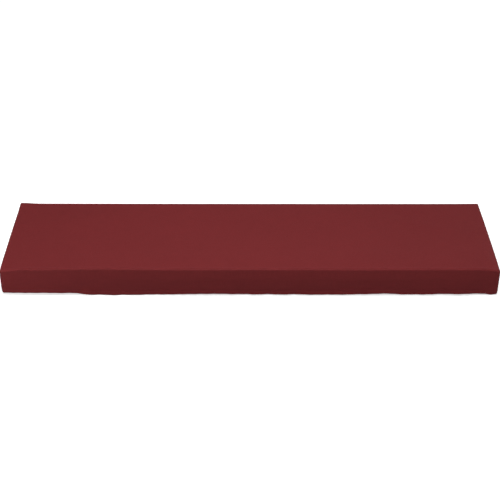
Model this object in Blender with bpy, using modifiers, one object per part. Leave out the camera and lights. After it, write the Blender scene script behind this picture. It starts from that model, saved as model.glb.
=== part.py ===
"""Fitted cloth cover for a long, low keyboard instrument, open underneath.

Five panels are sewn edge to edge with plain seams: a top, a front and a back skirt, and
a skirt at each end. The seams run along the middle of the rounded shoulders and corners.
The cover hangs from the instrument's top, which it hides and which isn't part of it.

Frame: +X along the length, to the right seen from the front; -Y to the front; +Z up.
The origin is the centre of the underside of the top panel.
"""

import math
from collections import namedtuple

import bmesh
import bpy
from mathutils import Vector

# Driving dimensions, in metres.
LENGTH = 1.300            # outside length at the shoulders
DEPTH = 0.347             # outside depth, front to back
DROP = 0.0750             # from the top's outer face down to the hem line
CLOTH = 0.0015            # thickness of the cloth
ROUND = 0.0036            # radius of the shoulders and of the upright corners
SEAM_GAP = 0.0005         # space between a panel and the line of its seam

# How the skirts hang.
BREAK_DEPTH = 0.029       # the front leans out down to this depth
BREAK_SOFTNESS = 0.003    # height over which the front turns back
UNDERCUT = 0.30           # share of the lean that is lost between the break and the hem
TUCK_START = 0.060        # the cloth begins to draw in towards the hem at this depth
HOLD_DEPTH = 0.035        # height over which the top's unevenness dies out down a skirt
CREST_HEIGHT = 0.0028     # lift of the top's front edge between its corners
CREST_REACH = 0.120       # how far back from the front edge the lift reaches
CREST_LEFT_RUN = 0.065    # length over which the lift begins at the left corner
CREST_RIGHT_RUN = 0.022   # length over which it ends at the right corner

# Grid cells, across each panel and down it, between the rounded borders.
TOP_CELLS = (40, 12)
LONG_SKIRT_CELLS = (44, 7)
SHORT_SKIRT_CELLS = (12, 7)
BORDER_STEPS = (0.0, 0.15, 0.55)   # stations across a rounded border, in radii

CLOTH_COLOUR = (0.190, 0.0185, 0.0215, 1.0)
CLOTH_ROUGHNESS = 0.85

TOP_FACE = CLOTH          # height of the top's outer face above the origin

# One row for each place along a skirt: distance from its middle, how far the hem is
# above the hem line, how far it is drawn in (below zero it flares out), how far the
# cloth stands out at the break, and how far the whole wall lies outside the plain box.
Station = namedtuple("Station", "along rise tuck stand edge")
FRONT_STATIONS = (
    Station(-0.650, 0.0037, 0.0012, 0.0012, 0.0000),
    Station(-0.530, 0.0048, -0.0008, 0.0018, 0.0002),
    Station(-0.475, 0.0035, 0.0006, 0.0024, 0.0000),
    Station(-0.400, -0.0009, -0.0002, 0.0030, -0.0002),
    Station(-0.350, -0.0012, -0.0002, 0.0034, 0.0000),
    Station(-0.230, 0.0004, 0.0006, 0.0038, 0.0002),
    Station(-0.100, 0.0026, -0.0004, 0.0040, 0.0000),
    Station(0.030, 0.0010, 0.0000, 0.0042, -0.0003),
    Station(0.235, 0.0006, -0.0008, 0.0042, 0.0000),
    Station(0.290, 0.0014, 0.0000, 0.0041, 0.0002),
    Station(0.355, 0.0036, -0.0008, 0.0040, 0.0000),
    Station(0.410, 0.0005, 0.0000, 0.0040, 0.0000),
    Station(0.550, 0.0024, -0.0004, 0.0038, 0.0002),
    Station(0.615, 0.0023, 0.0000, 0.0030, 0.0000),
    Station(0.634, -0.0009, 0.0004, 0.0024, 0.0000),
    Station(0.650, 0.0004, 0.0006, 0.0018, 0.0000),
)
BACK_STATIONS = (
    Station(-0.650, 0.0022, 0.0040, 0.0006, 0.0002),
    Station(-0.420, -0.0008, 0.0016, 0.0020, -0.0003),
    Station(-0.180, 0.0016, 0.0030, 0.0014, -0.0006),
    Station(0.080, -0.0004, 0.0014, 0.0022, -0.0004),
    Station(0.340, 0.0018, 0.0028, 0.0014, -0.0012),
    Station(0.520, -0.0006, 0.0012, 0.0018, -0.0016),
    Station(0.650, 0.0010, 0.0030, 0.0006, -0.0014),
)
LEFT_STATIONS = (
    Station(-0.1735, 0.0037, 0.0016, 0.0008, -0.0004),
    Station(-0.0900, 0.0022, 0.0040, 0.0014, 0.0000),
    Station(0.0400, 0.0008, 0.0030, 0.0016, 0.0006),
    Station(0.1735, 0.0022, 0.0050, 0.0004, 0.0006),
)
RIGHT_STATIONS = (
    Station(-0.1735, 0.0004, 0.0010, 0.0004, 0.0003),
    Station(-0.0600, 0.0012, 0.0012, 0.0014, 0.0002),
    Station(0.0700, -0.0008, 0.0010, 0.0014, -0.0004),
    Station(0.1735, 0.0010, 0.0034, 0.0004, -0.0014),
)

# Soft ridges and troughs of the top and its edges: centre, reach along and across,
# and height. A negative height is a trough.
Swell = namedtuple("Swell", "x y reach_x reach_y height")
TOP_SWELLS = (
    Swell(-0.390, -0.1735, 0.100, 0.050, 0.0018),
    Swell(-0.150, -0.020, 0.220, 0.080, -0.0010),
    Swell(0.240, 0.030, 0.200, 0.085, -0.0012),
    Swell(0.050, 0.1735, 0.420, 0.040, -0.0006),
    Swell(-0.640, 0.170, 0.028, 0.030, 0.0022),
    Swell(0.640, 0.170, 0.030, 0.030, 0.0004),
    Swell(-0.646, -0.172, 0.030, 0.026, -0.0024),
    Swell(0.646, -0.172, 0.034, 0.026, -0.0026),
)

# The points of the front corners, where three seams meet and their stiff edges push
# the cloth outwards: side, how far it stands out, reach, and depth of its middle.
Ear = namedtuple("Ear", "side out reach depth")
FRONT_EARS = (
    Ear(-1, 0.0003, 0.014, 0.010),
    Ear(1, 0.0010, 0.014, 0.009),
)

# A panel's grid: which way its rows run, which way it faces, and its cells.
Skirt = namedtuple("Skirt", "name along outward span cells")
SKIRTS = (
    Skirt("front_panel", Vector((1, 0, 0)), Vector((0, -1, 0)), LENGTH, LONG_SKIRT_CELLS),
    Skirt("back_panel", Vector((-1, 0, 0)), Vector((0, 1, 0)), LENGTH, LONG_SKIRT_CELLS),
    Skirt("left_end_panel", Vector((0, -1, 0)), Vector((-1, 0, 0)), DEPTH, SHORT_SKIRT_CELLS),
    Skirt("right_end_panel", Vector((0, 1, 0)), Vector((1, 0, 0)), DEPTH, SHORT_SKIRT_CELLS),
)


def smooth(value):
    """Ease from 0 to 1 with level ends."""
    value = min(max(value, 0.0), 1.0)
    return value * value * (3.0 - 2.0 * value)


def read_table(stations, along, column):
    """Value of one column of a skirt's table, eased between its rows."""
    along = min(max(along, stations[0].along), stations[-1].along)
    for before, after in zip(stations, stations[1:]):
        if along <= after.along:
            share = smooth((along - before.along) / (after.along - before.along))
            start, end = getattr(before, column), getattr(after, column)
            return start + (end - start) * share
    return getattr(stations[-1], column)


def stand_out(stations, along, depth):
    """How far a skirt lies outside its flat wall at a depth below the top."""
    past = 0.5 * (depth - BREAK_DEPTH + math.hypot(depth - BREAK_DEPTH, BREAK_SOFTNESS))
    lean = (depth - past) / BREAK_DEPTH - UNDERCUT * past / (DROP - BREAK_DEPTH)
    drawn_in = max(0.0, (depth - TUCK_START) / (DROP - TUCK_START)) ** 2
    stand = read_table(stations, along, "stand")
    tuck = read_table(stations, along, "tuck")
    edge = read_table(stations, along, "edge")
    return edge + stand * lean - tuck * drawn_in


def hem_rise(x, y):
    """Rise of the hem, carried across the cover so that the panels agree at each corner."""
    to_right, to_back = x / LENGTH + 0.5, y / DEPTH + 0.5
    front = read_table(FRONT_STATIONS, x, "rise")
    back = read_table(BACK_STATIONS, x, "rise")
    left = read_table(LEFT_STATIONS, y, "rise")
    right = read_table(RIGHT_STATIONS, y, "rise")
    front_ends = FRONT_STATIONS[0].rise * (1 - to_right) + FRONT_STATIONS[-1].rise * to_right
    back_ends = BACK_STATIONS[0].rise * (1 - to_right) + BACK_STATIONS[-1].rise * to_right
    lengthwise = (front - front_ends) * (1 - to_back) + (back - back_ends) * to_back
    return lengthwise + left * (1 - to_right) + right * to_right


def swell_height(x, y):
    """Height of the top's unevenness at a place on the cover."""
    total = 0.0
    for swell in TOP_SWELLS:
        away = ((x - swell.x) / swell.reach_x) ** 2 + ((y - swell.y) / swell.reach_y) ** 2
        total += swell.height * math.exp(-away)
    held = smooth((x + LENGTH / 2) / CREST_LEFT_RUN) * smooth((LENGTH / 2 - x) / CREST_RIGHT_RUN)
    return total + CREST_HEIGHT * held * math.exp(-((y + DEPTH / 2) / CREST_REACH) ** 2)


MIDDLE_LEVEL = swell_height(0.0, 0.0)   # taken off, so that the origin touches the top


def ear_push(x, y, depth):
    """Outward push of the front corners' seam ends, along X."""
    push = 0.0
    for ear in FRONT_EARS:
        from_side = (LENGTH / 2 - ear.side * x) / ear.reach
        from_front = (y + DEPTH / 2) / ear.reach
        from_middle = (depth - ear.depth) / ear.reach
        near = math.exp(-from_side ** 2 - from_front ** 2 - from_middle ** 2)
        push += ear.side * ear.out * near
    return push


def round_off(point):
    """Move a point on the plain box onto the box with rounded shoulders and corners."""
    core = Vector((
        min(max(point.x, ROUND - LENGTH / 2), LENGTH / 2 - ROUND),
        min(max(point.y, ROUND - DEPTH / 2), DEPTH / 2 - ROUND),
        min(point.z, TOP_FACE - ROUND),
    ))
    return core + (point - core).normalized() * ROUND


def hang(point):
    """Move a point of the rounded box to where the worn cloth lies."""
    x, y = point.x, point.y
    depth = TOP_FACE - point.z
    to_right, to_back = x / LENGTH + 0.5, y / DEPTH + 0.5
    out_front = stand_out(FRONT_STATIONS, x, depth)
    out_back = stand_out(BACK_STATIONS, x, depth)
    out_left = stand_out(LEFT_STATIONS, y, depth)
    out_right = stand_out(RIGHT_STATIONS, y, depth)
    move_x = out_right * to_right - out_left * (1 - to_right) + ear_push(x, y, depth)
    move_y = out_back * to_back - out_front * (1 - to_back)
    lift = (swell_height(x, y) - MIDDLE_LEVEL) * math.exp(-(depth / HOLD_DEPTH) ** 2)
    lift += hem_rise(x, y) * (depth / DROP) ** 2
    return point + Vector((move_x, move_y, lift))


def bordered(low, high, cells):
    """Stations from low to high, close together where both borders are rounded."""
    inner_low, inner_high = low + ROUND, high - ROUND
    border = [low + SEAM_GAP + step * (ROUND - SEAM_GAP) for step in BORDER_STEPS]
    middle = [inner_low + (inner_high - inner_low) * i / cells for i in range(cells + 1)]
    return border + middle + [high + low - value for value in reversed(border)]


def top_places():
    """Places of the top panel's grid, and its numbers of columns and rows."""
    columns = bordered(-LENGTH / 2, LENGTH / 2, TOP_CELLS[0])
    rows = bordered(-DEPTH / 2, DEPTH / 2, TOP_CELLS[1])
    return columns, rows, lambda u, v: Vector((u, v, TOP_FACE))


def skirt_places(skirt):
    """Places of a skirt's grid: along the wall, and from the hem up to the shoulder."""
    columns = bordered(-skirt.span / 2, skirt.span / 2, skirt.cells[0])
    hem, below_shoulder = TOP_FACE - DROP, TOP_FACE - ROUND
    steps = skirt.cells[1]
    rows = [hem + (below_shoulder - hem) * i / steps for i in range(steps + 1)]
    rows += [TOP_FACE - SEAM_GAP - step * (ROUND - SEAM_GAP) for step in reversed(BORDER_STEPS)]
    wall = LENGTH / 2 if skirt.outward.x else DEPTH / 2
    upright = Vector((0, 0, 1))
    return columns, rows, lambda u, v: skirt.along * u + skirt.outward * wall + upright * v


def cloth_panel(name, columns, rows, place, material, collection):
    """Make one panel: a grid hung in its place, given the thickness of the cloth."""
    grid = bmesh.new()
    bmesh.ops.create_grid(
        grid, x_segments=len(columns) - 1, y_segments=len(rows) - 1, size=1.0)
    for vertex in grid.verts:
        column = round((vertex.co.x + 1) / 2 * (len(columns) - 1))
        row = round((vertex.co.y + 1) / 2 * (len(rows) - 1))
        vertex.co = hang(round_off(place(columns[column], rows[row])))
    mesh = bpy.data.meshes.new(name)
    grid.to_mesh(mesh)
    grid.free()
    mesh.materials.append(material)
    mesh.shade_smooth()
    panel = bpy.data.objects.new(name, mesh)
    collection.objects.link(panel)
    thickness = panel.modifiers.new("cloth thickness", "SOLIDIFY")
    thickness.thickness = CLOTH
    thickness.offset = -1.0
    return panel


def cloth_material(name):
    """Matte, deep red woven cloth."""
    material = bpy.data.materials.new(name)
    material.use_nodes = True
    shader = material.node_tree.nodes["Principled BSDF"]
    shader.inputs["Base Color"].default_value = CLOTH_COLOUR
    shader.inputs["Roughness"].default_value = CLOTH_ROUGHNESS
    shader.inputs["Metallic"].default_value = 0.0
    return material


def build():
    """Clear the scene and make the cover's five panels."""
    for item in list(bpy.data.objects):
        bpy.data.objects.remove(item, do_unlink=True)
    collection = bpy.data.collections.new("piano_cover")
    bpy.context.scene.collection.children.link(collection)
    cloth_panel("top_panel", *top_places(), cloth_material("top cloth"), collection)
    for skirt in SKIRTS:
        material = cloth_material(skirt.name + " cloth")
        cloth_panel(skirt.name, *skirt_places(skirt), material, collection)


build()
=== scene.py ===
"""Looks of a fitted dust cover for a stage piano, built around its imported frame.

The cover is a shallow box of matte deep red cloth, open underneath: a top panel, a front
and a back skirt, and a skirt at each end. Each panel here is one closed sheet with the
cloth's real thickness, seams that sink between the panels, and a hem that is turned up
inside and stitched. +X runs along the length, -Y is the front, +Z is up.
"""

import logging
import math
from dataclasses import dataclass
from enum import Enum

import bpy
import numpy as np
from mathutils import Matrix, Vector

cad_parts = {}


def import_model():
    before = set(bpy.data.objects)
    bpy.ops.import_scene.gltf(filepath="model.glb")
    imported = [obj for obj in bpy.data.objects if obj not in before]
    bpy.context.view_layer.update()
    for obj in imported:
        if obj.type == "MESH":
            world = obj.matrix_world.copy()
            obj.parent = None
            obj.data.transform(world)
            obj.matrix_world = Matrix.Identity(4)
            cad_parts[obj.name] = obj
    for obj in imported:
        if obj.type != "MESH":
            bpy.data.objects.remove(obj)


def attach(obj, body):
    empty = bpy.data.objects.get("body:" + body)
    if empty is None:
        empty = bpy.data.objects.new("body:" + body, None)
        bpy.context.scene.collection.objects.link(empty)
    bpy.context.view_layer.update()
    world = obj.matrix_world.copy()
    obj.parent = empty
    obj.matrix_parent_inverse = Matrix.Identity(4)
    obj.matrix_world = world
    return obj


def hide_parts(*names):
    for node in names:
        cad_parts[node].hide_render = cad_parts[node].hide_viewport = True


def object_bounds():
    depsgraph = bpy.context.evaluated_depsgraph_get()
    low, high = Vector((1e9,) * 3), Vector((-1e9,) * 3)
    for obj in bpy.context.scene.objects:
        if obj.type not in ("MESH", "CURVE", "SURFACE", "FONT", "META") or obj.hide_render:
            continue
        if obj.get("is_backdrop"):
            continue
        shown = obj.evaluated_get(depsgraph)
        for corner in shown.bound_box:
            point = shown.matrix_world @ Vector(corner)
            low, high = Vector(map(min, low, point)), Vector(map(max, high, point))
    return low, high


BODY = "root"

log = logging.getLogger("piano_cover")


def new_object(name: str, data: bpy.types.ID) -> bpy.types.Object:
    """Add an object to the scene.

    Args:
        name: the object's name.
        data: its mesh, curve, lamp or camera.

    Returns:
        The object, at the origin.
    """
    item = bpy.data.objects.new(name, data)
    bpy.context.scene.collection.objects.link(item)
    return item


# ---------------------------------------------------------------- form of the cover


@dataclass(frozen=True)
class Station:
    """One place along a skirt, in metres."""

    along: float
    rise: float
    tuck: float
    stand: float
    edge: float


@dataclass(frozen=True)
class Swell:
    """A broad ridge or, below zero, a trough of the top: centre, reaches and height."""

    x: float
    y: float
    reach_x: float
    reach_y: float
    height: float


@dataclass(frozen=True)
class Ear:
    """Outward push of a front corner, where three seams meet and stiffen the cloth."""

    side: int
    out: float
    reach: float
    depth: float


@dataclass(frozen=True)
class Crest:
    """Lift of the top's front edge between its corners, where the case holds it up."""

    height: float = 0.0028
    reach: float = 0.120
    left_run: float = 0.065
    right_run: float = 0.022


@dataclass(frozen=True)
class Crease:
    """A soft ridge or trough on one panel, in the panel's own flat directions.

    Attributes:
        along: place of its middle along the panel, in metres.
        across: place of its middle on the panel's other direction, in metres.
        turn: angle of its line from the along direction, in degrees.
        reach: half its length, in metres.
        width: half its width, in metres.
        height: how far it stands out; below zero it is a trough.
    """

    along: float
    across: float
    turn: float
    reach: float
    width: float
    height: float


class Wall(Enum):
    """The four upright sides: direction of the skirt's rows, and which way it faces."""

    FRONT = ((1, 0, 0), (0, -1, 0))
    BACK = ((-1, 0, 0), (0, 1, 0))
    LEFT = ((0, -1, 0), (-1, 0, 0))
    RIGHT = ((0, 1, 0), (1, 0, 0))

    @property
    def along(self) -> np.ndarray:
        """Direction of the skirt's rows, seen from outside to the right."""
        return np.array(self.value[0], float)

    @property
    def outward(self) -> np.ndarray:
        """Direction that the skirt faces."""
        return np.array(self.value[1], float)


STATIONS = {
    Wall.FRONT: (
        Station(-0.650, 0.0037, 0.0012, 0.0012, 0.0000),
        Station(-0.530, 0.0048, -0.0008, 0.0018, 0.0002),
        Station(-0.475, 0.0035, 0.0006, 0.0024, 0.0000),
        Station(-0.400, -0.0009, -0.0002, 0.0030, -0.0002),
        Station(-0.350, -0.0012, -0.0002, 0.0034, 0.0000),
        Station(-0.230, 0.0004, 0.0006, 0.0038, 0.0002),
        Station(-0.100, 0.0026, -0.0004, 0.0040, 0.0000),
        Station(0.030, 0.0010, 0.0000, 0.0042, -0.0003),
        Station(0.235, 0.0006, -0.0008, 0.0042, 0.0000),
        Station(0.290, 0.0014, 0.0000, 0.0041, 0.0002),
        Station(0.355, 0.0036, -0.0008, 0.0040, 0.0000),
        Station(0.410, 0.0005, 0.0000, 0.0040, 0.0000),
        Station(0.550, 0.0024, -0.0004, 0.0038, 0.0002),
        Station(0.615, 0.0023, 0.0000, 0.0030, 0.0000),
        Station(0.634, -0.0009, 0.0004, 0.0024, 0.0000),
        Station(0.650, 0.0004, 0.0006, 0.0018, 0.0000),
    ),
    Wall.BACK: (
        Station(-0.650, 0.0022, 0.0040, 0.0006, 0.0002),
        Station(-0.420, -0.0008, 0.0016, 0.0020, -0.0003),
        Station(-0.180, 0.0016, 0.0030, 0.0014, -0.0006),
        Station(0.080, -0.0004, 0.0014, 0.0022, -0.0004),
        Station(0.340, 0.0018, 0.0028, 0.0014, -0.0012),
        Station(0.520, -0.0006, 0.0012, 0.0018, -0.0016),
        Station(0.650, 0.0010, 0.0030, 0.0006, -0.0014),
    ),
    Wall.LEFT: (
        Station(-0.1735, 0.0037, 0.0016, 0.0008, -0.0004),
        Station(-0.0900, 0.0022, 0.0040, 0.0014, 0.0000),
        Station(0.0400, 0.0008, 0.0030, 0.0016, 0.0006),
        Station(0.1735, 0.0022, 0.0050, 0.0004, 0.0006),
    ),
    Wall.RIGHT: (
        Station(-0.1735, 0.0004, 0.0010, 0.0004, 0.0003),
        Station(-0.0600, 0.0012, 0.0012, 0.0014, 0.0002),
        Station(0.0700, -0.0008, 0.0010, 0.0014, -0.0004),
        Station(0.1735, 0.0010, 0.0034, 0.0004, -0.0014),
    ),
}

SWELLS = (
    Swell(-0.390, -0.1735, 0.100, 0.050, 0.0018),
    Swell(-0.150, -0.020, 0.220, 0.080, -0.0010),
    Swell(0.240, 0.030, 0.200, 0.085, -0.0012),
    Swell(0.050, 0.1735, 0.420, 0.040, -0.0006),
    Swell(-0.640, 0.170, 0.028, 0.030, 0.0022),
    Swell(0.640, 0.170, 0.030, 0.030, 0.0004),
    Swell(-0.646, -0.172, 0.030, 0.026, -0.0024),
    Swell(0.646, -0.172, 0.034, 0.026, -0.0026),
)

EARS = (Ear(-1, 0.0003, 0.014, 0.010), Ear(1, 0.0010, 0.014, 0.009))


def smooth(value: np.ndarray) -> np.ndarray:
    """Ease from 0 to 1 with level ends."""
    value = np.clip(value, 0.0, 1.0)
    return value * value * (3.0 - 2.0 * value)


@dataclass(frozen=True)
class CoverForm:
    """The worn shape of the cover, as a plain rounded box and the way the cloth hangs on it.

    The sizes and tables are those of the solids in the frame, in metres.

    Attributes:
        length: outside length at the shoulders.
        depth: outside depth, front to back.
        drop: from the top's outer face down to the hem line.
        round_radius: radius of the shoulders and of the upright corners.
        top_face: height of the top's outer face.
        break_depth: depth to which the skirts lean out.
        break_softness: height over which they turn back.
        undercut: share of the lean that is lost between the break and the hem.
        tuck_start: depth at which the cloth begins to draw in towards the hem.
        tuck_limit: most that it draws in, as a share of the tuck at the hem line.
        hold_depth: height over which the top's unevenness dies out down a skirt.
        crest: lift of the top's front edge.
    """

    length: float = 1.300
    depth: float = 0.347
    drop: float = 0.0750
    round_radius: float = 0.0036
    top_face: float = 0.0015
    break_depth: float = 0.029
    break_softness: float = 0.003
    undercut: float = 0.30
    tuck_start: float = 0.060
    tuck_limit: float = 1.1
    hold_depth: float = 0.035
    crest: Crest = Crest()

    def column(self, wall: Wall, along: np.ndarray, name: str) -> np.ndarray:
        """Read one column of a skirt's table, eased between its rows.

        Args:
            wall: which skirt.
            along: places along it, in metres.
            name: the column.

        Returns:
            The value at each place.
        """
        rows = STATIONS[wall]
        places = np.array([row.along for row in rows])
        values = np.array([getattr(row, name) for row in rows])
        along = np.clip(along, places[0], places[-1])
        after = np.clip(np.searchsorted(places, along), 1, len(rows) - 1)
        share = smooth((along - places[after - 1]) / (places[after] - places[after - 1]))
        return values[after - 1] + (values[after] - values[after - 1]) * share

    def stand_out(self, wall: Wall, along: np.ndarray, below: np.ndarray) -> np.ndarray:
        """How far a skirt lies outside its flat wall.

        Args:
            wall: which skirt.
            along: places along it, in metres.
            below: depths below the top's outer face, in metres.

        Returns:
            The distance outwards at each place.
        """
        past = below - self.break_depth
        past = 0.5 * (past + np.hypot(past, self.break_softness))
        lean = (below - past) / self.break_depth
        lean = lean - self.undercut * past / (self.drop - self.break_depth)
        drawn_in = np.maximum(0.0, (below - self.tuck_start) / (self.drop - self.tuck_start))
        out = self.column(wall, along, "edge")
        out = out + self.column(wall, along, "stand") * lean
        drawn_in = np.minimum(drawn_in, self.tuck_limit)
        return out - self.column(wall, along, "tuck") * drawn_in**2

    def hem_rise(self, x: np.ndarray, y: np.ndarray) -> np.ndarray:
        """Rise of the hem, carried across the cover so that panels agree at the corners.

        Args:
            x: places along the length.
            y: places along the depth.

        Returns:
            The rise at each place.
        """
        to_right, to_back = x / self.length + 0.5, y / self.depth + 0.5
        rise = self.column(Wall.LEFT, y, "rise") * (1 - to_right)
        rise = rise + self.column(Wall.RIGHT, y, "rise") * to_right
        for wall, share in ((Wall.FRONT, 1 - to_back), (Wall.BACK, to_back)):
            ends = STATIONS[wall][0].rise * (1 - to_right) + STATIONS[wall][-1].rise * to_right
            rise = rise + (self.column(wall, x, "rise") - ends) * share
        return rise

    def swell(self, x: np.ndarray, y: np.ndarray) -> np.ndarray:
        """Height of the top's broad unevenness.

        Args:
            x: places along the length.
            y: places along the depth.

        Returns:
            The height at each place.
        """
        total = np.zeros(np.shape(x))
        for row in SWELLS:
            away = ((x - row.x) / row.reach_x) ** 2 + ((y - row.y) / row.reach_y) ** 2
            total = total + row.height * np.exp(-away)
        held = smooth((x + self.length / 2) / self.crest.left_run)
        held = held * smooth((self.length / 2 - x) / self.crest.right_run)
        held = held * np.exp(-(((y + self.depth / 2) / self.crest.reach) ** 2))
        return total + self.crest.height * held

    def ear_push(self, x: np.ndarray, y: np.ndarray, below: np.ndarray) -> np.ndarray:
        """Sideways push of the front corners.

        Args:
            x: places along the length.
            y: places along the depth.
            below: depths below the top's outer face.

        Returns:
            The distance along +X at each place.
        """
        push = np.zeros(np.shape(x))
        for ear in EARS:
            away = ((self.length / 2 - ear.side * x) / ear.reach) ** 2
            away = away + ((y + self.depth / 2) / ear.reach) ** 2
            away = away + ((below - ear.depth) / ear.reach) ** 2
            push = push + ear.side * ear.out * np.exp(-away)
        return push

    def rounded(self, points: np.ndarray, inset: np.ndarray) -> np.ndarray:
        """Move points of the plain box onto the rounded one, or a little inside it.

        Args:
            points: places on the plain box, one row each.
            inset: how far inside the outer face each one lies.

        Returns:
            The moved points.
        """
        radius = self.round_radius
        edges = np.array([self.length / 2, self.depth / 2, self.top_face])
        high = edges - radius
        low = np.array([-high[0], -high[1], -np.inf])
        core = np.clip(points, low, high)
        away = points - core
        facing = away / np.linalg.norm(away, axis=-1, keepdims=True)
        return core + facing * (radius - inset)[..., None]

    def hang(self, points: np.ndarray) -> np.ndarray:
        """Move points of the rounded box to where the worn cloth lies.

        Args:
            points: places on the rounded box, one row each.

        Returns:
            The moved points.
        """
        x, y, z = points[..., 0], points[..., 1], points[..., 2]
        below = self.top_face - z
        to_right, to_back = x / self.length + 0.5, y / self.depth + 0.5
        move_x = self.stand_out(Wall.RIGHT, y, below) * to_right
        move_x = move_x - self.stand_out(Wall.LEFT, y, below) * (1 - to_right)
        move_y = self.stand_out(Wall.BACK, x, below) * to_back
        move_y = move_y - self.stand_out(Wall.FRONT, x, below) * (1 - to_back)
        level = self.swell(np.zeros(1), np.zeros(1))[0]
        lift = (self.swell(x, y) - level) * np.exp(-((below / self.hold_depth) ** 2))
        lift = lift + self.hem_rise(x, y) * (below / self.drop) ** 2
        move_x = move_x + self.ear_push(x, y, below)
        return points + np.stack([move_x, move_y, lift], axis=-1)

    def seam_arc(self, from_border: np.ndarray) -> np.ndarray:
        """Length of cloth from a seam to a place near it.

        Args:
            from_border: flat distance from the plain box's edge.

        Returns:
            The length round the bend and along the flat.
        """
        radius = self.round_radius
        bend = radius * (math.pi / 4 - np.arctan2(np.maximum(radius - from_border, 0), radius))
        return bend + np.maximum(from_border - radius, 0.0)


# ------------------------------------------------------------------ cloth and seams


@dataclass(frozen=True)
class Wave:
    """One wave along a seam or a hem, whose phase sways slowly so that it isn't regular.

    Attributes:
        height: its height, as a share.
        rate: its turns, in radians a metre.
        sway: how far its phase sways, in radians.
        sway_rate: turns of the sway, in radians a metre.
        start: its phase at the middle, in radians.
    """

    height: float
    rate: float
    sway: float = 0.0
    sway_rate: float = 0.0
    start: float = 0.0

    def at(self, along: np.ndarray) -> np.ndarray:
        """Height of the wave at each place."""
        phase = along * self.rate + self.sway * np.sin(along * self.sway_rate) + self.start
        return self.height * np.sin(phase)

    def fade(self, along: np.ndarray) -> np.ndarray:
        """Share that is left where this wave makes another one stronger and weaker."""
        return 1.0 - self.height + self.at(along)


@dataclass(frozen=True)
class SeamShape:
    """How the cloth lies beside a plain seam, in metres.

    Attributes:
        gap: distance of a panel from the line of its seam.
        groove: how deep the seam sinks.
        groove_width: half the groove's width.
        ridge: how high the seam allowances lift the cloth beside it.
        ridge_place: distance of that ridge from the seam.
        ridge_width: half the ridge's width.
        pucker: height of the puckers that the thread's pull makes.
        pucker_reach: distance over which they die out.
        puckers: waves that the puckers are made of.
        pucker_fade: where the puckers are strong and where they are weak.
    """

    gap: float = 0.00003
    groove: float = 0.0007
    groove_width: float = 0.0011
    ridge: float = 0.00025
    ridge_place: float = 0.0042
    ridge_width: float = 0.0024
    pucker: float = 0.00026
    pucker_reach: float = 0.0085
    puckers: tuple[Wave, ...] = (
        Wave(0.6, 433.0, 2.3, 53.0),
        Wave(0.4, 269.0, 1.9, 31.0, 0.7),
    )
    pucker_fade: Wave = Wave(0.4, 41.0, 1.8, 9.0)

    def relief(self, arc: np.ndarray, along: np.ndarray) -> np.ndarray:
        """Height of the cloth beside a seam.

        Args:
            arc: length of cloth from the seam.
            along: place along the seam.

        Returns:
            The height above the smooth form.
        """
        sunk = -self.groove * np.exp(-((arc / self.groove_width) ** 2))
        raised = self.ridge * np.exp(-(((arc - self.ridge_place) / self.ridge_width) ** 2))
        ripple = sum(wave.at(along) for wave in self.puckers) * self.pucker_fade.fade(along)
        return sunk + raised + self.pucker * ripple * np.exp(-arc / self.pucker_reach)


@dataclass(frozen=True)
class HemShape:
    """The turned hem of a skirt, in metres.

    Attributes:
        turn_radius: radius of the turn at the bottom, on its outside.
        turn_steps: number of faces round the turn.
        height: height of the cloth that is turned up inside.
        rows: number of faces up that cloth.
        stitch_height: height of the row of stitches above the hem line.
        stitch_width: half the width of the furrow that the stitches pull.
        stitch_depth: depth of that furrow.
        flare: how far the stiff hem stands out.
        flare_height: height at which it begins to stand out.
        flare_curve: power that bends the flare.
        ripple: height of the in and out ripple.
        ripple_reach: height over which it dies out.
        broad: the ripple's broad wave.
        broad_fade: where the broad wave is strong and where it is weak.
        fine: the ripple's fine wave.
    """

    turn_radius: float = 0.00105
    turn_steps: int = 6
    height: float = 0.0125
    rows: int = 4
    stitch_height: float = 0.0105
    stitch_width: float = 0.0011
    stitch_depth: float = 0.00022
    flare: float = 0.0010
    flare_height: float = 0.013
    flare_curve: float = 1.5
    ripple: float = 0.0009
    ripple_reach: float = 0.018
    broad: Wave = Wave(1.0, 83.0, 1.1, 17.0)
    broad_fade: Wave = Wave(0.5, 13.0, start=0.6)
    fine: Wave = Wave(0.35, 211.0, 0.9, 29.0)

    def relief(self, above: np.ndarray, along: np.ndarray) -> np.ndarray:
        """Outward flare and the in and out ripple of the hem.

        Args:
            above: height above the hem.
            along: place along the skirt.

        Returns:
            The distance outwards.
        """
        wave = self.broad.at(along) * self.broad_fade.fade(along) + self.fine.at(along)
        above = np.maximum(above, 0.0)
        pulled = (above - self.stitch_height) / self.stitch_width
        stitched = self.stitch_depth * np.exp(-(pulled**2))
        low = np.maximum(0.0, 1.0 - above / self.flare_height)
        flared = self.flare * low**self.flare_curve
        return self.ripple * wave * np.exp(-above / self.ripple_reach) + flared - stitched


def crease_field(creases: tuple[Crease, ...], along: np.ndarray, across: np.ndarray) -> np.ndarray:
    """Sum of the soft ridges and troughs placed on one panel.

    Args:
        creases: the panel's creases.
        along: places along the panel.
        across: places across it.

    Returns:
        The height of the cloth above the panel's smooth form.
    """
    total = np.zeros(np.shape(along))
    for crease in creases:
        angle = math.radians(crease.turn)
        right, up = along - crease.along, across - crease.across
        forward = (right * math.cos(angle) + up * math.sin(angle)) / crease.reach
        aside = (up * math.cos(angle) - right * math.sin(angle)) / crease.width
        total = total + crease.height * np.exp(-forward**2 - aside**2)
    return total


BEND_SHARES = np.array([0.0, 0.09, 0.2, 0.34, 0.5, 0.68, 0.85])
FLAT_STEPS = np.array([0.0, 0.0012, 0.0026, 0.0044, 0.0066, 0.0094, 0.0130])
FURROW_STEPS = np.array([-2.0, -1.0, 0.0, 1.0, 2.0])


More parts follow.
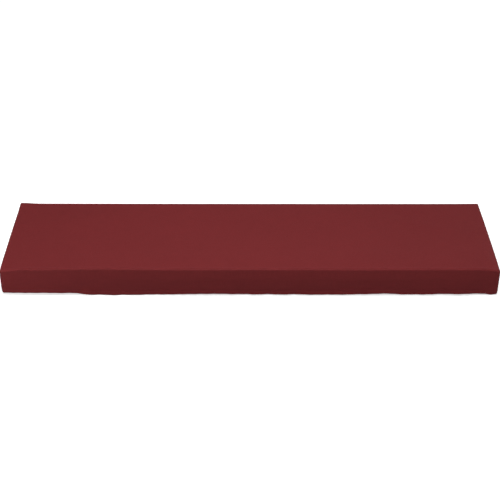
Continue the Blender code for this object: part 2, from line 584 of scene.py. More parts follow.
def border_lines(form: CoverForm, gap: float) -> np.ndarray:
    """Places of the grid lines that lie close together at a seam.

    Args:
        form: the cover's form.
        gap: space left at a seam.

    Returns:
        Distances from the plain box's edge, round the bend and then on the flat.
    """
    bend = gap + (form.round_radius - gap) * BEND_SHARES
    return np.concatenate([bend, form.round_radius + FLAT_STEPS])


def stations(low: float, high: float, form: CoverForm, gap: float, pitch: float) -> np.ndarray:
    """Places of a panel's grid lines, closest at the rounded borders.

    Args:
        low: one border of the plain box.
        high: the other border.
        form: the cover's form.
        gap: space left at a seam.
        pitch: largest distance between lines.

    Returns:
        The places in rising order.
    """
    border = low + border_lines(form, gap)
    start, end = border[-1] + pitch, high + low - border[-1] - pitch
    middle = np.linspace(start, end, round((end - start) / pitch) + 1)
    return np.concatenate([border, middle, (high + low - border)[::-1]])


@dataclass
class ClothPanel:
    """One cut piece of cloth, made as a closed sheet.

    Attributes:
        name: the piece's name.
        node: the solid that it stands for.
        form: the cover's form.
        seam: how the cloth lies at its seams.
        creases: soft ridges and troughs on the panel.
        thickness: the cloth's thickness, in metres.
        pitch: distance between grid lines, the same for panels that meet at a seam.
        sharp_angle: angle in degrees past which an edge isn't shaded smooth.
    """

    name: str
    node: str
    form: CoverForm
    seam: SeamShape
    creases: tuple[Crease, ...] = ()
    thickness: float = 0.0009
    pitch: float = 0.0050
    sharp_angle: float = 50.0

    def sheet_mesh(
        self, face: np.ndarray, back: np.ndarray, flat: np.ndarray, seam_arc: np.ndarray
    ) -> bpy.types.Object:
        """Join the face and the back of the cloth into one closed sheet.

        Args:
            face: grid of points on the outer face, columns by rows.
            back: the same grid on the inner face.
            flat: places of the grid on the flat cloth, for the weave.
            seam_arc: length of cloth from the nearest seam.

        Returns:
            The new object, at the origin.
        """
        columns, rows = face.shape[:2]
        count = columns * rows
        number = np.arange(count).reshape(columns, rows)
        a, b = number[:-1, :-1].ravel(), number[1:, :-1].ravel()
        c, d = number[1:, 1:].ravel(), number[:-1, 1:].ravel()
        near, far = number[:, 0], number[-2::-1, -1]
        rim = np.concatenate([near, number[-1, 1:], far, number[0, -2:0:-1]])
        after = np.roll(rim, -1)
        outside, inside = np.stack([a, b, c, d], 1), np.stack([d, c, b, a], 1) + count
        edge = np.stack([after, rim, rim + count, after + count], 1)
        quads = np.concatenate([outside, inside, edge])
        mesh = bpy.data.meshes.new(self.name)
        points = np.concatenate([face.reshape(-1, 3), back.reshape(-1, 3)])
        mesh.from_pydata(points.tolist(), [], quads.tolist())
        mesh.validate()
        uv = mesh.uv_layers.new(name="flat_cloth")
        corners = np.zeros(len(mesh.loops), int)
        mesh.loops.foreach_get("vertex_index", corners)
        places = np.concatenate([flat.reshape(-1, 2)] * 2)[corners]
        uv.data.foreach_set("uv", places.ravel())
        distance = mesh.attributes.new("seam_distance", "FLOAT", "POINT")
        distance.data.foreach_set("value", np.concatenate([seam_arc.ravel()] * 2))
        mesh.shade_smooth()
        mesh.set_sharp_from_angle(angle=math.radians(self.sharp_angle))
        return new_object(self.name, mesh)

    def fasten(self, item: bpy.types.Object, material: bpy.types.Material) -> None:
        """Dress the sheet and tie it to the frame.

        Args:
            item: the sheet.
            material: the cloth.
        """
        item.data.materials.append(material)
        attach(item, BODY)
        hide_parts(self.node)
        log.info("%s: %d faces", item.name, len(item.data.polygons))


@dataclass
class TopPanel(ClothPanel):
    """The flat top, from shoulder seam to shoulder seam.

    Attributes:
        calm: distance from a seam over which the creases begin.
    """

    calm: float = 0.030

    def build(self, material: bpy.types.Material) -> None:
        """Make the top panel.

        Args:
            material: the cloth.
        """
        form = self.form
        half_length, half_depth = form.length / 2, form.depth / 2
        across = stations(-half_length, half_length, form, self.seam.gap, self.pitch)
        deep = stations(-half_depth, half_depth, form, self.seam.gap, self.pitch)
        x, y = np.meshgrid(across, deep, indexing="ij")
        arc_x = form.seam_arc(half_length - np.abs(x))
        arc_y = form.seam_arc(half_depth - np.abs(y))
        relief = self.seam.relief(arc_x, y) + self.seam.relief(arc_y, x)
        free = smooth(arc_x / self.calm) * smooth(arc_y / self.calm)
        relief = relief + crease_field(self.creases, x, y) * free
        plain = np.stack([x, y, np.full(x.shape, form.top_face)], axis=-1)
        face = form.hang(form.rounded(plain, -relief))
        back = form.hang(form.rounded(plain, self.thickness - relief))
        item = self.sheet_mesh(face, back, np.stack([x, y], -1), np.minimum(arc_x, arc_y))
        self.fasten(item, material)


@dataclass
class SkirtPanel(ClothPanel):
    """An upright side, from its shoulder seam down to its turned hem.

    Attributes:
        wall: which side it is.
        hem: its turned hem.
        row_pitch: distance between the rows of its grid, below the shoulder.
        side_calm: distance from a corner seam over which creases and ripple begin.
        shoulder_calm: distance from the shoulder over which the creases begin.
        stitch_margin: distance of the last stitch from the corner's bend.
    """

    wall: Wall = Wall.FRONT
    hem: HemShape = HemShape()
    row_pitch: float = 0.0042
    side_calm: float = 0.035
    shoulder_calm: float = 0.030
    stitch_margin: float = 0.0014

    @property
    def span(self) -> float:
        """Length of the plain wall."""
        return self.form.length if self.wall.outward[1] else self.form.depth

    @property
    def wall_distance(self) -> float:
        """Distance of the plain wall from the middle of the cover."""
        return (self.form.depth if self.wall.outward[1] else self.form.length) / 2

    @property
    def stitch_level(self) -> float:
        """Height of the row of stitches that holds the hem."""
        return self.form.top_face - self.form.drop + self.hem.stitch_height

    def profile(self) -> tuple[np.ndarray, np.ndarray, np.ndarray, np.ndarray, np.ndarray]:
        """Work out the skirt's section, from the shoulder to the raw edge inside the hem.

        Returns:
            Heights and insets of the outer face, heights and insets of the inner face,
            and lengths of cloth from the shoulder.
        """
        form, hem = self.form, self.hem
        top = form.top_face - self.seam.gap
        bottom = form.top_face - form.drop + hem.turn_radius
        shoulder = border_lines(form, self.seam.gap)
        wall_start = form.top_face - shoulder[-1]
        steps = round((wall_start - bottom) / self.row_pitch)
        wall = np.linspace(wall_start, bottom, steps + 1)[1:]
        sewn = self.stitch_level + hem.stitch_width * FURROW_STEPS
        wall = np.sort(np.concatenate([wall, sewn]))[::-1]
        down = np.concatenate([form.top_face - shoulder, wall])
        down[0] = top
        level = np.zeros(len(down))
        turn = np.linspace(0, math.pi, hem.turn_steps + 1)[1:]
        up = hem.height * np.linspace(0, 1, hem.rows + 1)[1:]
        radius, thin = hem.turn_radius, hem.turn_radius - self.thickness
        low_z = bottom - radius * np.sin(turn)
        low_in = radius * (1 - np.cos(turn))
        thin_z = bottom - thin * np.sin(turn)
        thin_in = radius - thin * np.cos(turn)
        face_z = np.concatenate([down, low_z, bottom + up])
        face_in = np.concatenate([level, low_in, np.full(hem.rows, 2 * radius)])
        back_z = np.concatenate([down, thin_z, bottom + up])
        turned_in = np.full(hem.rows, radius + thin)
        back_in = np.concatenate([level + self.thickness, thin_in, turned_in])
        steps_down = np.hypot(np.diff(face_z), np.diff(face_in))
        lengths = np.concatenate([[0.0], np.cumsum(steps_down)])
        return face_z, face_in, back_z, back_in, lengths

    def plain_points(self, along: np.ndarray, height: np.ndarray) -> np.ndarray:
        """Points of the plain wall.

        Args:
            along: places along the skirt.
            height: heights in the frame.

        Returns:
            The points, one row each.
        """
        wall = self.wall
        points = along[..., None] * wall.along + self.wall_distance * wall.outward
        return points + height[..., None] * np.array([0.0, 0.0, 1.0])

    def relief(self, along: np.ndarray, height: np.ndarray) -> np.ndarray:
        """How far the outer face stands above the smooth form.

        Args:
            along: places along the skirt.
            height: heights in the frame.

        Returns:
            The distance outwards.
        """
        form = self.form
        below = form.top_face - height
        arc_side = form.seam_arc(self.span / 2 - np.abs(along))
        relief = self.seam.relief(form.seam_arc(below), along * self.wall.along.sum())
        relief = relief + self.seam.relief(arc_side, height)
        free = smooth(arc_side / self.side_calm)
        relief = relief + self.hem.relief(form.drop - below, along) * free
        creased = crease_field(self.creases, along, height) * smooth(below / self.shoulder_calm)
        return relief + creased * free

    def build(self, material: bpy.types.Material) -> None:
        """Make the skirt.

        Args:
            material: the cloth.
        """
        form = self.form
        lines = stations(-self.span / 2, self.span / 2, form, self.seam.gap, self.pitch)
        face_z, face_in, back_z, back_in, lengths = self.profile()
        along, face_height = np.meshgrid(lines, face_z, indexing="ij")
        _, back_height = np.meshgrid(lines, back_z, indexing="ij")
        face_inset = np.broadcast_to(face_in, along.shape)
        back_inset = np.broadcast_to(back_in, along.shape)
        relief = self.relief(along, face_height)
        face = form.rounded(self.plain_points(along, face_height), face_inset - relief)
        back = form.rounded(self.plain_points(along, back_height), back_inset - relief)
        run = np.broadcast_to(lengths, along.shape)
        arc_side = form.seam_arc(self.span / 2 - np.abs(along))
        flat = np.stack([along, -run], -1)
        order = (slice(None), slice(None, None, -1))  # rows from the hem up, to face outwards
        face, back = form.hang(face)[order], form.hang(back)[order]
        item = self.sheet_mesh(face, back, flat[order], np.minimum(arc_side, run)[order])
        self.fasten(item, material)

    def stitch_line(self, pitch: float, lift: float) -> np.ndarray:
        """Points of the row of stitches that holds the hem, on the outer face.

        Args:
            pitch: distance between points.
            lift: how far the middle of the thread lies outside the cloth's face.

        Returns:
            The points from one corner seam to the other.
        """
        form = self.form
        end = self.span / 2 - form.round_radius - self.stitch_margin
        along = np.linspace(-end, end, round(2 * end / pitch) + 1)
        height = np.full(along.shape, self.stitch_level)
        plain = self.plain_points(along, height)
        return form.hang(form.rounded(plain, -self.relief(along, height) - lift))


# ------------------------------------------------------------------------ stitches


@dataclass(frozen=True)
class HemStitching:
    """A row of straight stitches in thread of the cloth's colour.

    Attributes:
        pitch: distance from one stitch to the next.
        stitch_length: length of the thread that shows.
        thread_radius: half the thread's thickness.
        lift: how far the thread's middle lies outside the cloth, as a share of its radius.
        sides: number of faces round the thread.
    """

    pitch: float = 0.0034
    stitch_length: float = 0.0027
    thread_radius: float = 0.00024
    lift: float = 0.4
    sides: int = 6

    def path(self, skirts: list[SkirtPanel]) -> bpy.types.Object:
        """Make one curve for each skirt's stitch row, all in one object.

        Args:
            skirts: the panels whose hems are sewn.

        Returns:
            The object that holds the curves.
        """
        curve = bpy.data.curves.new("hem_stitches", "CURVE")
        curve.dimensions = "3D"
        for skirt in skirts:
            points = skirt.stitch_line(self.pitch, self.thread_radius * self.lift)
            spline = curve.splines.new("POLY")
            spline.points.add(len(points) - 1)
            flat = np.concatenate([points, np.ones((len(points), 1))], axis=1)
            spline.points.foreach_set("co", flat.ravel())
        return new_object("hem_stitch_path", curve)

    def tree(self, material: bpy.types.Material) -> bpy.types.GeometryNodeTree:
        """Build the tree that lays a stitch at each step along a curve.

        Args:
            material: the thread.

        Returns:
            The tree, with named inputs for its sizes.
        """
        tree = bpy.data.node_groups.new("hem_stitches", "GeometryNodeTree")
        face = tree.interface
        face.new_socket("Geometry", in_out="INPUT", socket_type="NodeSocketGeometry")
        for name in ("Pitch", "Stitch Length", "Thread Radius"):
            face.new_socket(name, in_out="INPUT", socket_type="NodeSocketFloat")
        face.new_socket("Geometry", in_out="OUTPUT", socket_type="NodeSocketGeometry")
        nodes = tree.nodes
        entry = nodes.new("NodeGroupInput")
        steps = nodes.new("GeometryNodeResampleCurve")
        steps.mode = "LENGTH"
        place = nodes.new("GeometryNodeInstanceOnPoints")
        thread = nodes.new("GeometryNodeMeshCylinder")
        thread.fill_type = "TRIANGLE_FAN"
        thread.inputs["Vertices"].default_value = self.sides
        thread.inputs["Side Segments"].default_value = 1
        lay = nodes.new("FunctionNodeAlignRotationToVector")
        lay.axis = "Z"
        tangent = nodes.new("GeometryNodeInputTangent")
        real = nodes.new("GeometryNodeRealizeInstances")
        smooth_faces = nodes.new("GeometryNodeSetShadeSmooth")
        paint = nodes.new("GeometryNodeSetMaterial")
        paint.inputs["Material"].default_value = material
        leave = nodes.new("NodeGroupOutput")
        wires = (
            (entry, "Geometry", steps, "Curve"),
            (entry, "Pitch", steps, "Length"),
            (entry, "Stitch Length", thread, "Depth"),
            (entry, "Thread Radius", thread, "Radius"),
            (steps, "Curve", place, "Points"),
            (thread, "Mesh", place, "Instance"),
            (tangent, "Tangent", lay, "Vector"),
            (lay, "Rotation", place, "Rotation"),
            (place, "Instances", real, "Geometry"),
            (real, "Geometry", smooth_faces, "Geometry"),
            (smooth_faces, "Geometry", paint, "Geometry"),
            (paint, "Geometry", leave, "Geometry"),
        )
        for source, given, target, taken in wires:
            tree.links.new(source.outputs[given], target.inputs[taken])
        return tree

    def build(self, skirts: list[SkirtPanel], material: bpy.types.Material) -> None:
        """Make the stitches of every hem as one plain mesh.

        Args:
            skirts: the panels whose hems are sewn.
            material: the thread.
        """
        path = self.path(skirts)
        sewing = path.modifiers.new("stitches", "NODES")
        sewing.node_group = self.tree(material)
        values = {
            "Pitch": self.pitch,
            "Stitch Length": self.stitch_length,
            "Thread Radius": self.thread_radius,
        }
        for socket in sewing.node_group.interface.items_tree:
            if socket.name in values:
                sewing[socket.identifier] = values[socket.name]
        ready = path.evaluated_get(bpy.context.evaluated_depsgraph_get())
        mesh = bpy.data.meshes.new_from_object(ready)
        mesh.name = "hem_stitches"
        item = new_object("hem_stitches", mesh)
        bpy.data.objects.remove(path, do_unlink=True)
        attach(item, BODY)
        log.info("%s: %d faces", item.name, len(mesh.polygons))


# ------------------------------------------------------------------------ finishes


class NodeMaker:
    """Short calls for adding nodes to a shader tree."""

    def __init__(self, tree: bpy.types.NodeTree) -> None:
        """Keep the tree that the nodes go into."""
        self.tree = tree

    def add(self, kind: str, **settings: object) -> bpy.types.Node:
        """Add a node and set its properties.

        Args:
            kind: the node's type.
            **settings: its properties by name.

        Returns:
            The node.
        """
        node = self.tree.nodes.new(kind)
        for name, value in settings.items():
            setattr(node, name, value)
        return node

    def feed(self, target: bpy.types.NodeSocket, source: object) -> None:
        """Link a socket, or set a constant on it.

        Args:
            target: the input socket.
            source: an output socket or a constant.
        """
        if isinstance(source, bpy.types.NodeSocket):
            self.tree.links.new(source, target)
        else:
            target.default_value = source

    def fill(self, node: bpy.types.Node, values: dict[str, object]) -> None:
        """Link or set several inputs of a node."""
        for name, value in values.items():
            self.feed(node.inputs[name], value)

    def math(self, operation: str, first: object, second: object = 0.0) -> bpy.types.NodeSocket:
        """Add a math node.

        Args:
            operation: what it does.
            first: its first input, an output socket or a constant.
            second: its second input.

        Returns:
            The result.
        """
        node = self.add("ShaderNodeMath", operation=operation)
        self.feed(node.inputs[0], first)
        self.feed(node.inputs[1], second)
        return node.outputs[0]

    def stretch(self, place: object, times: tuple[float, float, float]) -> bpy.types.NodeSocket:
        """Scale a place by its own number along each axis.

        Args:
            place: the place.
            times: the number for each axis.

        Returns:
            The scaled place.
        """
        node = self.add("ShaderNodeVectorMath", operation="MULTIPLY")
        self.feed(node.inputs[0], place)
        self.feed(node.inputs[1], times)
        return node.outputs[0]

    def noise(self, place: object, scale: float, detail: float) -> bpy.types.NodeSocket:
        """Add a noise texture.

        Args:
            place: where it is read.
            scale: its changes over one unit.
            detail: number of finer layers.

        Returns:
            Its value.
        """
        node = self.add("ShaderNodeTexNoise")
        self.fill(node, {"Vector": place, "Scale": scale, "Detail": detail})
        return node.outputs["Fac"]

    def blend(self, share: object, first: object, second: object) -> bpy.types.NodeSocket:
        """Mix two colours.

        Args:
            share: share of the second colour.
            first: the first colour.
            second: the second colour.

        Returns:
            The mixed colour.
        """
        node = self.add("ShaderNodeMix", data_type="RGBA")
        self.fill(node, {"Factor": share, "A": first, "B": second})
        return node.outputs["Result"]


def new_material(name: str) -> tuple[bpy.types.Material, NodeMaker, bpy.types.Node]:
    """Start a material with a single surface shader.

    Args:
        name: the material's name.

    Returns:
        The material, its node maker and its surface shader.
    """
    material = bpy.data.materials.new(name)
    material.use_nodes = True
    shader = material.node_tree.nodes["Principled BSDF"]
    return material, NodeMaker(material.node_tree), shader


def shader_group(
    name: str, inputs: dict[str, str], outputs: dict[str, str]
) -> tuple[bpy.types.NodeTree, NodeMaker, bpy.types.Node, bpy.types.Node]:
    """Start a shader node group with named sockets.

    Args:
        name: the group's name.
        inputs: socket type of each input.
        outputs: socket type of each output.

    Returns:
        The group, its node maker, its input node and its output node.
    """
    group = bpy.data.node_groups.new(name, "ShaderNodeTree")
    for label, kind in inputs.items():
        group.interface.new_socket(label, in_out="INPUT", socket_type=kind)
    for label, kind in outputs.items():
        group.interface.new_socket(label, in_out="OUTPUT", socket_type=kind)
    maker = NodeMaker(group)
    return group, maker, maker.add("NodeGroupInput"), maker.add("NodeGroupOutput")


SLUB_ALONG_WARP = (820.0, 36.0, 0.0)
SLUB_ALONG_WEFT = (28.0, 760.0, 0.0)


def weave_group() -> bpy.types.NodeTree:
    """Fine plain weave: warp over weft over warp, with threads of uneven thickness.

    Returns:
        A group with the inputs Place and Threads and the outputs Height, Mask and Slub.
    """
    group, maker, entry, leave = shader_group(
        "plain_weave",
        {"Place": "NodeSocketVector", "Threads": "NodeSocketFloat"},
        {"Height": "NodeSocketFloat", "Mask": "NodeSocketFloat", "Slub": "NodeSocketFloat"},
    )
    split = maker.add("ShaderNodeSeparateXYZ")
    maker.feed(split.inputs[0], entry.outputs["Place"])
    waves = []
    for axis in (0, 1):
        turns = maker.math("MULTIPLY", split.outputs[axis], entry.outputs["Threads"])
        waves.append(maker.math("SINE", maker.math("MULTIPLY", turns, math.pi)))
    crossing = maker.math("MULTIPLY", waves[0], waves[1])
    warp = maker.math("MULTIPLY", maker.math("ABSOLUTE", waves[0]), 0.5)
    weft = maker.math("MULTIPLY", maker.math("ABSOLUTE", waves[1]), 0.5)
    threads = maker.math("ADD", warp, weft)
    height = maker.math("ADD", threads, maker.math("MULTIPLY", crossing, 0.5))
    slubs = []
    for times in (SLUB_ALONG_WARP, SLUB_ALONG_WEFT):
        slubs.append(maker.noise(maker.stretch(entry.outputs["Place"], times), 1.0, 2.0))
    slub = maker.math("MULTIPLY", maker.math("ADD", *slubs), 0.5)
    maker.fill(leave, {"Height": height, "Mask": threads, "Slub": slub})
    return group


DYE_SCALE = 5.5
MOTTLE_SCALE = 140.0
FIBRE_SCALE = 900.0
RUB_FADE = 160.0
LEAST_DUST = 0.2


def wear_group() -> bpy.types.NodeTree:
    """Uneven dye, faint dust and slight rubbing beside the seams.

    Returns:
        A group with the inputs Place and Seam and the outputs Dye, Dust and Unevenness.
    """
    group, maker, entry, leave = shader_group(
        "cloth_wear",
        {"Place": "NodeSocketVector", "Seam": "NodeSocketFloat"},
        {"Dye": "NodeSocketFloat", "Dust": "NodeSocketFloat", "Unevenness": "NodeSocketFloat"},
    )
    place = entry.outputs["Place"]
    broad = maker.noise(place, DYE_SCALE, 2.0)
    mottle = maker.noise(place, MOTTLE_SCALE, 3.0)
    fibres = maker.noise(place, FIBRE_SCALE, 1.0)
    dye = maker.math("MULTIPLY", maker.math("ADD", broad, mottle), 0.5)
    rubbed = maker.math("EXPONENT", maker.math("MULTIPLY", entry.outputs["Seam"], -RUB_FADE))
    dust = maker.math("MULTIPLY", rubbed, maker.math("ADD", mottle, LEAST_DUST))
    uneven = maker.math("ADD", mottle, fibres)
    maker.fill(leave, {"Dye": dye, "Dust": dust, "Unevenness": uneven})
    return group


@dataclass(frozen=True)
class ClothFinish:
    """Matte woven polyester in a deep red.

    Attributes:
        dark: colour where the dye lies thickest.
        light: colour where it lies thinnest.
        dusty: colour of rubbed cloth beside a seam.
        dust_share: most of that colour that shows.
        slub_dye: how much thick threads change the dye.
        roughness: mean roughness.
        weave_roughness: how much the roughness changes across a thread.
        threads: threads in a metre of cloth.
        thread_height: share of the threads in the fine relief.
        slub_height: share of the thick threads in it.
        relief_strength: strength of the fine relief.
        relief_depth: its depth, in metres.
        reflection: strength of the shine.
        sheen: strength of the soft shine of loose fibres.
        sheen_roughness: spread of that shine.
        sheen_tint: its colour.
    """

    dark: tuple[float, float, float] = (0.150, 0.0140, 0.0158)
    light: tuple[float, float, float] = (0.180, 0.0168, 0.0190)
    dusty: tuple[float, float, float] = (0.260, 0.060, 0.062)
    dust_share: float = 0.06
    slub_dye: float = 3.0
    roughness: float = 0.82
    weave_roughness: float = 0.12
    threads: float = 2100.0
    thread_height: float = 0.5
    slub_height: float = 1.5
    relief_strength: float = 0.8
    relief_depth: float = 0.00018
    reflection: float = 0.22
    sheen: float = 0.02
    sheen_roughness: float = 0.55
    sheen_tint: tuple[float, float, float] = (0.85, 0.55, 0.55)

    def material(
        self, name: str, weave: bpy.types.NodeTree, wear: bpy.types.NodeTree
    ) -> bpy.types.Material:
        """Build the cloth's material.

        Args:
            name: the material's name.
            weave: the plain weave group.
            wear: the group for dye and dust.

        Returns:
            The material.
        """
        material, maker, shader = new_material(name)
        flat = maker.add("ShaderNodeUVMap", uv_map="flat_cloth")
        seam = maker.add("ShaderNodeAttribute", attribute_name="seam_distance")
        body = maker.add("ShaderNodeTexCoord")
        threads = maker.add("ShaderNodeGroup", node_tree=weave)
        maker.fill(threads, {"Place": flat.outputs["UV"], "Threads": self.threads})
        worn = maker.add("ShaderNodeGroup", node_tree=wear)
        maker.fill(worn, {"Place": body.outputs["Object"], "Seam": seam.outputs["Fac"]})
        thick = maker.math("SUBTRACT", threads.outputs["Slub"], 0.5)
        uneven = maker.math("MULTIPLY", thick, self.slub_dye)
        tone = maker.math("ADD", worn.outputs["Dye"], uneven)
        dyed = maker.blend(tone, (*self.dark, 1.0), (*self.light, 1.0))
        dust = maker.math("MULTIPLY", worn.outputs["Dust"], self.dust_share)
        rough = maker.math("MULTIPLY", threads.outputs["Mask"], self.weave_roughness)
        smoothest = self.roughness - self.weave_roughness / 2
        height = maker.math("MULTIPLY", threads.outputs["Height"], self.thread_height)
        height = maker.math("ADD", height, worn.outputs["Unevenness"])
        slubs = maker.math("MULTIPLY", threads.outputs["Slub"], self.slub_height)
        bump = maker.add("ShaderNodeBump")
        maker.fill(bump, {
            "Strength": self.relief_strength,
            "Distance": self.relief_depth,
            "Height": maker.math("ADD", height, slubs),
        })
        maker.fill(shader, {
            "Base Color": maker.blend(dust, dyed, (*self.dusty, 1.0)),
            "Roughness": maker.math("ADD", rough, smoothest),
            "Normal": bump.outputs["Normal"],
            "Specular IOR Level": self.reflection,
            "Sheen Weight": self.sheen,
            "Sheen Roughness": self.sheen_roughness,
            "Sheen Tint": (*self.sheen_tint, 1.0),
        })
        return material


@dataclass(frozen=True)
class ThreadFinish:
    """Spun polyester thread, a little lighter and smoother than the cloth.

    Attributes:
        dark: painted shade, a darker colour that stands for the shaded turns of its twist.
        light: painted light, a lighter colour that stands for the lit outside of its twist.
        roughness: its roughness.
        fibre_scale: fineness of its twist, and so of the noise that spreads this painted shade and
            light, in changes a metre.
        reflection: strength of its shine.
    """

    dark: tuple[float, float, float] = (0.135, 0.0130, 0.0150)
    light: tuple[float, float, float] = (0.225, 0.0270, 0.0300)
    roughness: float = 0.62
    fibre_scale: float = 2600.0
    reflection: float = 0.3

    def material(self, name: str) -> bpy.types.Material:
        """Build the thread's material.

        Args:
            name: the material's name.

        Returns:
            The material.
        """
        material, maker, shader = new_material(name)
        body = maker.add("ShaderNodeTexCoord")
        # Noise spreads painted shade for the twist's turns and painted light for its outside over
        # the thread.
        fibres = maker.noise(body.outputs["Object"], self.fibre_scale, 1.0)
        maker.fill(shader, {
            "Base Color": maker.blend(fibres, (*self.dark, 1.0), (*self.light, 1.0)),
            "Roughness": self.roughness,
            "Specular IOR Level": self.reflection,
        })
        return material


# -------------------------------------------------------------------------- studio


class LampKind(Enum):
    """Ways that a studio lamp spreads its light."""

    CEILING = "SUN"
    SOFTBOX = "AREA"


@dataclass(frozen=True)
class Lamp:
    """A large, soft studio light.

    Attributes:
        name: the lamp's name.
        kind: an even ceiling of light, or a softbox.
        place: where it stands, in metres.
        aim: the point that it faces.
        power: watts, or watts in a square metre for the ceiling.
        size: width and height of the softbox, in metres.
        spread: angle that the ceiling fills, in degrees.
    """

    name: str
    kind: LampKind
    place: tuple[float, float, float]
    aim: tuple[float, float, float]
    power: float
    size: tuple[float, float] = (1.0, 1.0)
    spread: float = 0.0

    def build(self) -> None:
        """Add the lamp, turned to its aim."""
        lamp = bpy.data.lights.new(self.name, self.kind.value)
        lamp.energy = self.power
        if self.kind is LampKind.SOFTBOX:
            lamp.shape = "RECTANGLE"
            lamp.size, lamp.size_y = self.size
        else:
            lamp.angle = math.radians(self.spread)
        item = new_object(self.name, lamp)
        item.location = self.place
        way = Vector(self.aim) - Vector(self.place)
        item.rotation_euler = way.to_track_quat("-Z", "Y").to_euler()
        log.info("%s: %.1f", self.name, self.power)


@dataclass(frozen=True)
class Studio:
    """Pale floor, soft light and the camera.

    Attributes:
        form: the cover's form.
        lowest: height of the lowest point of the frame's solids.
        floor_gap: distance from that point down to the floor.
        floor_side: side of the square floor.
        floor_colour: how pale the floor looks.
        floor_roughness: its roughness.
        floor_bounce: share of light that the floor sends back to the cover.
        floor_glow: evenness added to the floor, so that it stays pale far away.
        sky: strength of the even light from all round.
        pitch: how far the camera looks down, in degrees.
        focal: focal length, in picture widths.
        front_share: share of the picture's width that the front edge fills.
        edge_below_middle: how far that edge lies below the middle, in picture widths.
        shift_left: how far the cover lies left of the middle, in picture widths.
    """

    form: CoverForm
    lowest: float
    floor_gap: float = 0.0021
    floor_side: float = 60.0
    floor_colour: float = 0.90
    floor_roughness: float = 0.9
    floor_bounce: float = 0.35
    floor_glow: float = 0.64
    sky: float = 0.08
    pitch: float = 32.27
    focal: float = 2.366
    front_share: float = 1.0028
    edge_below_middle: float = 0.0404
    shift_left: float = 0.0007

    def floor(self) -> None:
        """Make the plain pale floor just under the hem."""
        level = self.lowest - self.floor_gap
        bpy.ops.mesh.primitive_plane_add(size=self.floor_side, location=(0, 0, level))
        item = bpy.context.object
        item.name = "studio_floor"
        material, maker, shown = new_material("pale floor")
        maker.fill(shown, {
            "Base Color": (*[self.floor_colour] * 3, 1.0),
            "Roughness": self.floor_roughness,
            "Specular IOR Level": 0.0,
            "Emission Color": (1.0, 1.0, 1.0, 1.0),
            "Emission Strength": self.floor_glow,
        })
        bounced = maker.add("ShaderNodeBsdfDiffuse")
        maker.fill(bounced, {"Color": (*[self.floor_bounce] * 3, 1.0)})
        path = maker.add("ShaderNodeLightPath")
        seen = maker.math("MAXIMUM", path.outputs["Is Camera Ray"], path.outputs["Is Glossy Ray"])
        either = maker.add("ShaderNodeMixShader")
        for place, source in enumerate((seen, bounced.outputs["BSDF"], shown.outputs["BSDF"])):
            maker.feed(either.inputs[place], source)
        leave = material.node_tree.nodes["Material Output"]
        maker.fill(leave, {"Surface": either.outputs["Shader"]})
        item.data.materials.append(material)
        item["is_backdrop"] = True

    def sky_light(self) -> None:
        """Light the scene evenly from all round, with a white backdrop in view."""
        world = bpy.data.worlds.new("studio")
        world.use_nodes = True
        bpy.context.scene.world = world
        maker = NodeMaker(world.node_tree)
        back = world.node_tree.nodes["Background"]
        path = maker.add("ShaderNodeLightPath")
        shown = maker.math("MULTIPLY", path.outputs["Is Camera Ray"], 1.0 - self.sky)
        strength = maker.math("ADD", shown, self.sky)
        maker.fill(back, {"Color": (1.0, 1.0, 1.0, 1.0), "Strength": strength})

    def camera(self) -> None:
        """Place the camera in front and above, level, with the cover filling the width."""
        lens = bpy.data.cameras.new("camera")
        lens.lens = self.focal * lens.sensor_width
        distance = self.focal * self.form.length / self.front_share
        across = distance / self.focal
        tilt = math.radians(self.pitch)
        forward = Vector((0, math.cos(tilt), -math.sin(tilt)))
        upward = Vector((0, math.sin(tilt), math.cos(tilt)))
        edge = Vector((0, -self.form.depth / 2, self.form.top_face))
        place = edge - forward * distance + upward * (self.edge_below_middle * across)
        place.x += self.shift_left * across
        item = new_object("camera", lens)
        item.location = place
        item.rotation_euler = forward.to_track_quat("-Z", "Y").to_euler()
        bpy.context.scene.camera = item

    def build(self, lamps: tuple[Lamp, ...]) -> None:
        """Make the floor, the sky, the lamps and the camera.

        Args:
            lamps: the studio's lamps.
        """
        self.floor()
        self.sky_light()
        for lamp in lamps:
            lamp.build()
        self.camera()
        bpy.context.scene.view_settings.view_transform = "Standard"


LAMPS = (
    Lamp(
        "ceiling_light", LampKind.CEILING,
        place=(0.0, 0.0, 3.0), aim=(0.0, 0.0, 0.0), power=1.05, spread=30.0,
    ),
    Lamp(
        "top_softbox", LampKind.SOFTBOX,
        place=(-0.05, -0.10, 1.5), aim=(-0.05, -0.05, 0.0), power=6.4, size=(1.2, 0.9),
    ),
    Lamp(
        "front_softbox", LampKind.SOFTBOX,
        place=(-0.1, -0.6, 1.4), aim=(-0.05, -0.1, 0.0), power=10.8, size=(1.4, 0.9),
    ),
    Lamp(
        "left_strip", LampKind.SOFTBOX,
        place=(-1.05, -0.75, 0.20), aim=(-0.55, -0.17, -0.03), power=1.30, size=(0.5, 0.3),
    ),
    Lamp(
        "left_kicker", LampKind.SOFTBOX,
        place=(-0.85, -0.60, 0.06), aim=(-0.58, -0.17, -0.03), power=0.36, size=(0.35, 0.22),
    ),
    Lamp(
        "right_fill", LampKind.SOFTBOX,
        place=(1.3, -1.5, 0.35), aim=(0.4, -0.17, -0.03), power=4.1, size=(1.0, 0.6),
    ),
    Lamp(
        "back_fill", LampKind.SOFTBOX,
        place=(1.7, 1.3, 0.16), aim=(0.5, 0.10, -0.04), power=5.0, size=(1.4, 0.3),
    ),
)

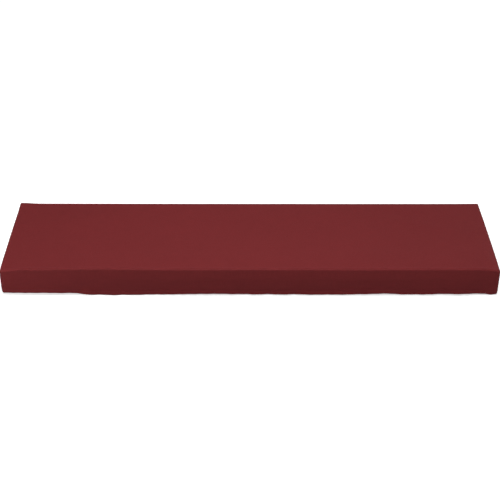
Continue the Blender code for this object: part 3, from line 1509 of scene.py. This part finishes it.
TOP_CREASES = (
    Crease(-0.42, -0.085, 4.0, 0.160, 0.020, -0.0005),
    Crease(-0.10, -0.080, -3.0, 0.180, 0.022, -0.0006),
    Crease(0.28, -0.070, 2.0, 0.200, 0.024, -0.0005),
    Crease(-0.52, 0.070, 24.0, 0.090, 0.018, 0.0005),
    Crease(-0.30, 0.090, -12.0, 0.120, 0.020, 0.0004),
    Crease(0.12, 0.105, 6.0, 0.150, 0.018, 0.0005),
    Crease(0.46, 0.060, -18.0, 0.110, 0.020, 0.0005),
    Crease(0.55, -0.060, 30.0, 0.080, 0.016, -0.0004),
    Crease(0.36, 0.120, -6.0, 0.120, 0.016, -0.0004),
)

FRONT_CREASES = (
    Crease(-0.60, -0.040, 62.0, 0.030, 0.012, -0.0005),
    Crease(-0.455, -0.060, 18.0, 0.060, 0.010, -0.0009),
    Crease(-0.40, -0.052, 28.0, 0.040, 0.010, 0.0006),
    Crease(-0.20, -0.050, 8.0, 0.110, 0.012, -0.0005),
    Crease(0.05, -0.048, -5.0, 0.130, 0.012, 0.0004),
    Crease(0.22, -0.055, 6.0, 0.100, 0.010, -0.0005),
    Crease(0.355, -0.058, -20.0, 0.050, 0.010, -0.0007),
    Crease(0.50, -0.050, 5.0, 0.090, 0.012, 0.0004),
    Crease(0.61, -0.045, -58.0, 0.028, 0.010, -0.0006),
)

BACK_CREASES = (
    Crease(-0.48, -0.045, 14.0, 0.070, 0.012, -0.0007),
    Crease(-0.16, -0.050, -8.0, 0.110, 0.013, 0.0006),
    Crease(0.12, -0.052, 10.0, 0.090, 0.011, -0.0006),
    Crease(0.42, -0.044, -16.0, 0.070, 0.012, 0.0006),
)

LEFT_CREASES = (
    Crease(-0.09, -0.042, 40.0, 0.035, 0.010, -0.0006),
    Crease(0.06, -0.050, -24.0, 0.040, 0.011, 0.0006),
)

RIGHT_CREASES = (
    Crease(-0.07, -0.046, 26.0, 0.040, 0.011, 0.0005),
    Crease(0.09, -0.044, -38.0, 0.034, 0.010, -0.0006),
)


def main() -> None:
    """Build the cover's cloth, its stitches and the studio."""
    logging.basicConfig(level=logging.INFO, format="%(name)s: %(message)s")
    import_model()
    frame_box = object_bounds()
    form, seam = CoverForm(), SeamShape()
    cloth = ClothFinish().material("deep red cloth", weave_group(), wear_group())
    sides = (
        ("front", Wall.FRONT, FRONT_CREASES),
        ("back", Wall.BACK, BACK_CREASES),
        ("left_end", Wall.LEFT, LEFT_CREASES),
        ("right_end", Wall.RIGHT, RIGHT_CREASES),
    )
    skirts = [
        SkirtPanel(f"{side}_cloth", f"{side}_panel", form, seam, creases, wall=wall)
        for side, wall, creases in sides
    ]
    TopPanel("top_cloth", "top_panel", form, seam, TOP_CREASES).build(cloth)
    for skirt in skirts:
        skirt.build(cloth)
    HemStitching().build(skirts, ThreadFinish().material("deep red thread"))
    Studio(form, lowest=frame_box[0][2]).build(LAMPS)
    log.info("sizes written")


if __name__ == "__main__":
    main()
